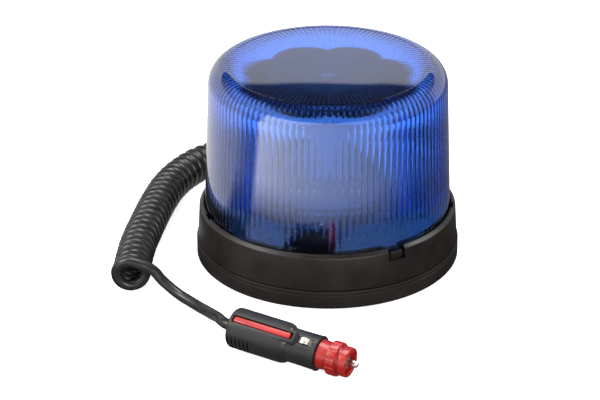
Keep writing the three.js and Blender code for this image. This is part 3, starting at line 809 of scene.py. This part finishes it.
screws = [f"{kind}_screw_{i}" for kind in ("base", "board") for i in (1, 2, 3)]
finishes = [
    (zinc, ["pole_plate", *screws, "centre_bolt", "clamp_pin"]),
    (springSteel, ["catch_spring", "tip_spring"]),
    (nickel, ["contact_upper", "contact_lower", "nose_ferrule", "centre_pin"]),
    (castAluminium, ["heat_sink", "capacitor_left", "capacitor_right"]),
    (ferrite, ["magnet_ring"]),
    (sealRubber, ["lens_seal", "vent_plug"]),
    (boardGreen, ["driver_board"]),
    (boardPale, ["led_board"]),
    (partBlack, ["choke", "driver_chip"]),
    (terminalGrey, ["terminal_block"]),
    (phosphor, [f"led_{i}" for i in range(1, 9)]),
    (fuseGlass, ["fuse"]),
    (cordRubber, ["strain_relief", "supply_lead"]),
]
for material, nodes in finishes:
    for node in nodes:
        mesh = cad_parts[node].data
        mesh.materials.clear()
        mesh.materials.append(material)
        for polygon in mesh.polygons:
            polygon.material_index = 0

# stage: pale floor and backdrop, soft lights


def makeSheet(name, low, high, material):
    bm = bmesh.new()
    bmesh.ops.create_grid(bm, x_segments=1, y_segments=1, size=0.5)
    size = Vector(high) - Vector(low)
    bmesh.ops.scale(bm, vec=(size.x, size.y, 1), verts=bm.verts)
    bmesh.ops.translate(bm, vec=(Vector(low) + Vector(high)) / 2, verts=bm.verts)
    mesh = bpy.data.meshes.new(name)
    bm.to_mesh(mesh)
    bm.free()
    mesh.materials.append(material)
    sheet = bpy.data.objects.new(name, mesh)
    bpy.context.scene.collection.objects.link(sheet)
    return sheet


def makeLight(name, spot, aim, size, power, unlit):
    data = bpy.data.lights.new(name, "AREA")
    data.shape = "RECTANGLE"
    data.size, data.size_y = size
    data.energy = power
    light = bpy.data.objects.new(name, data)
    light.location = spot
    light.rotation_mode = "QUATERNION"
    light.rotation_quaternion = (Vector(spot) - Vector(aim)).to_track_quat("Z", "Y")
    light.visible_camera = False
    light.light_linking.receiver_collection = unlit
    bpy.context.scene.collection.objects.link(light)


def leftOut(pieces):
    # the lights skip these: they show the soft room alone
    group = bpy.data.collections.new("unlit")
    for piece in pieces:
        group.objects.link(piece)
    for member in group.collection_objects:
        member.light_linking.link_state = "EXCLUDE"
    return group


room = {
    # what reflections and diffuse light find
    "dim": 0.03,
    "left": 0.4,
    "right": 0.25,
    "backdrop": 0.6,
    "bright": 2.5,
    "brightTop": 0.41,
    # what the camera and the rays through the lens find
    "ceiling": 0.1,
    "front": 2,
    "rear": 1.2,
    "overhead": 4,
    # angle from the front, share of the bright level
    "around": [
        (-180, 0.15), (-160, 0.3), (-110, 0.32), (-88, 0.3), (-72, 0.09), (-65, 0.06), (-60, 1),
        (-45, 0.85), (-28, 0.65), (0, 0.45), (28, 0.35), (42, 0.26), (56, 0.11), (72, 0.02), (120, 0.03),
        (150, 0.07), (180, 0.15),
    ],
}


def aroundGlow(tree, x, y):
    # the room's bright level in a direction, and the floor's painted light at a place, by its angle from
    # the front
    front = addNode(tree, "ShaderNodeMath", {0: y, 1: -1.0}, operation="MULTIPLY")
    angle = addNode(tree, "ShaderNodeMath", {0: x, 1: front.outputs[0]}, operation="ARCTAN2")
    turn = addNode(tree, "ShaderNodeMapRange", {
        "Value": angle.outputs[0], "From Min": -math.pi, "From Max": math.pi,
    })
    share = addNode(tree, "ShaderNodeValToRGB", {"Fac": turn.outputs[0]})
    stops = share.color_ramp.elements
    stops[1].position = 1
    for degrees, _ in room["around"][1:-1]:
        stops.new((degrees + 180) / 360)
    for stop, (degrees, level) in zip(stops, room["around"]):
        stop.color = (level, level, level, 1)
    return addNode(tree, "ShaderNodeMath", {
        0: share.outputs["Color"], 1: room["bright"],
    }, operation="MULTIPLY")


def seenPlainly(tree):
    # rays from the camera, or on their way through the lens
    path = addNode(tree, "ShaderNodeLightPath").outputs
    return addNode(tree, "ShaderNodeMath", {
        0: path["Is Camera Ray"], 1: path["Is Transmission Ray"],
    }, operation="MAXIMUM")


floorSpec = {
    "shown": 0.8,         # glow that the camera finds
    "dark": 0.12,         # painted shade: share of the room's level left round the foot
    "paintedShadeTo": 0.2,
    "paintedShadeEnd": 0.27,
    "behind": 0.15,       # metres by which the painted shade patch is shorter at the back
}


def floorSurface(spec):
    # pale to look at; reflections and diffuse light find painted light on it, bright at the front left and
    # dim at the sides and back, with painted shade round the foot
    material, tree, output, where = newMaterial("floor_pale_painted_glow")
    pale = joinShader(tree, output, {
        "Base Color": linear("#e8e8e8"), "Roughness": 0.9, "Specular IOR Level": 0.1,
        "Emission Color": linear("#ffffff"), "Emission Strength": spec["shown"],
    })
    parts = addNode(tree, "ShaderNodeSeparateXYZ", {"Vector": where})
    around = aroundGlow(tree, parts.outputs["X"], parts.outputs["Y"])
    reach = addNode(tree, "ShaderNodeVectorMath", {0: where}, operation="LENGTH")
    beside = addNode(tree, "ShaderNodeMapRange", {
        "Value": parts.outputs["Y"], "From Min": -0.03, "From Max": 0.03,
    })
    further = addNode(tree, "ShaderNodeMath", {
        0: beside.outputs[0], 1: spec["behind"], 2: reach.outputs["Value"],
    }, operation="MULTIPLY_ADD")
    # painted shade round the foot: the glow falls to a small share of itself near the beacon
    paintedFootShade = addNode(tree, "ShaderNodeMapRange", {
        "Value": further.outputs[0], "From Min": spec["paintedShadeTo"], "From Max": spec["paintedShadeEnd"],
        "To Min": spec["dark"], "To Max": 1.0,
    })
    strength = addNode(tree, "ShaderNodeMath", {
        0: around.outputs[0], 1: paintedFootShade.outputs[0],
    }, operation="MULTIPLY")
    # the floor glows with painted light for reflections and diffuse light; the camera and the rays through
    # the lens see it pale
    glow = addNode(tree, "ShaderNodeEmission", {"Strength": strength.outputs[0]})
    mixed = addNode(tree, "ShaderNodeMixShader", {
        0: seenPlainly(tree).outputs[0], 1: glow.outputs[0], 2: pale.outputs["BSDF"],
    })
    tree.links.new(mixed.outputs[0], output.inputs["Surface"])
    return material


makeSheet("floor", (-0.6, -0.5, -0.0002), (0.6, 1.2, -0.0002), floorSurface(floorSpec))


def makeWorld():
    # white to look at; what shines on the pieces is a dim room with a pale front and backdrop
    world = bpy.data.worlds.new("studio")
    world.use_nodes = True
    tree = world.node_tree
    tree.nodes.clear()
    way = addNode(tree, "ShaderNodeTexCoord").outputs["Generated"]
    parts = addNode(tree, "ShaderNodeSeparateXYZ", {"Vector": way})
    below = addNode(tree, "ShaderNodeMapRange", {
        "Value": parts.outputs["Z"], "From Min": room["brightTop"], "From Max": room["brightTop"] + 0.004,
        "To Min": 1.0, "To Max": 0.0,
    })
    behind = addNode(tree, "ShaderNodeMapRange", {
        "Value": parts.outputs["Y"], "From Min": 0.3, "From Max": 0.5, "To Max": room["backdrop"],
    })
    around = aroundGlow(tree, parts.outputs["X"], parts.outputs["Y"])
    level = addNode(tree, "ShaderNodeMath", {
        0: behind.outputs[0], 1: around.outputs[0],
    }, operation="MAXIMUM")
    shown = addNode(tree, "ShaderNodeMath", {
        0: level.outputs[0], 1: below.outputs[0],
    }, operation="MULTIPLY")
    leftSide = addNode(tree, "ShaderNodeMapRange", {
        "Value": parts.outputs["X"], "From Min": -0.7, "From Max": -0.3,
        "To Min": room["left"], "To Max": room["dim"],
    })
    rightSide = addNode(tree, "ShaderNodeMapRange", {
        "Value": parts.outputs["X"], "From Min": 0.3, "From Max": 0.7,
        "To Min": room["dim"], "To Max": room["right"],
    })
    sides = addNode(tree, "ShaderNodeMath", {
        0: leftSide.outputs[0], 1: rightSide.outputs[0],
    }, operation="MAXIMUM")
    glow = addNode(tree, "ShaderNodeMath", {0: shown.outputs[0], 1: sides.outputs[0]}, operation="MAXIMUM")
    up = addNode(tree, "ShaderNodeMapRange", {
        "Value": parts.outputs["Z"], "From Min": 0.4, "From Max": 0.5,
        "To Min": 1.0, "To Max": room["ceiling"],
    })
    above = addNode(tree, "ShaderNodeMapRange", {
        "Value": parts.outputs["Z"], "From Min": 0.9, "From Max": 0.94,
        "To Min": 0.0, "To Max": room["overhead"],
    })
    rear = addNode(tree, "ShaderNodeMapRange", {
        "Value": parts.outputs["Y"], "From Min": -0.3, "From Max": 0.2,
        "To Min": room["front"], "To Max": room["rear"],
    })
    low = addNode(tree, "ShaderNodeMath", {0: up.outputs[0], 1: rear.outputs[0]}, operation="MULTIPLY")
    through = addNode(tree, "ShaderNodeMath", {0: low.outputs[0], 1: above.outputs[0]}, operation="MAXIMUM")
    plain = addNode(tree, "ShaderNodeBackground", {
        "Color": linear("#ffffff"), "Strength": through.outputs[0],
    })
    lit = addNode(tree, "ShaderNodeBackground", {"Color": linear("#ffffff"), "Strength": glow.outputs[0]})
    mixed = addNode(tree, "ShaderNodeMixShader", {
        0: seenPlainly(tree).outputs[0], 1: lit.outputs[0], 2: plain.outputs[0],
    })
    output = addNode(tree, "ShaderNodeOutputWorld")
    tree.links.new(mixed.outputs[0], output.inputs["Surface"])
    bpy.context.scene.world = world


makeWorld()
unlit = leftOut([lensPiece])
makeLight("overhead", (-0.1, 0.15, 1.1), (0, 0, 0.08), (0.7, 0.5), 11, unlit)
makeLight("left_box", (-0.9, -0.25, 0.75), (-0.05, 0, 0.05), (0.5, 0.6), 11, unlit)
makeLight("right_box", (0.95, 0.1, 0.6), (0, 0, 0.05), (0.3, 0.6), 7, unlit)
makeLight("front_fill", (0.5, -1.3, 0.4), (0, 0, 0.02), (0.9, 0.5), 14, unlit)
bpy.context.scene.view_settings.view_transform = "Standard"
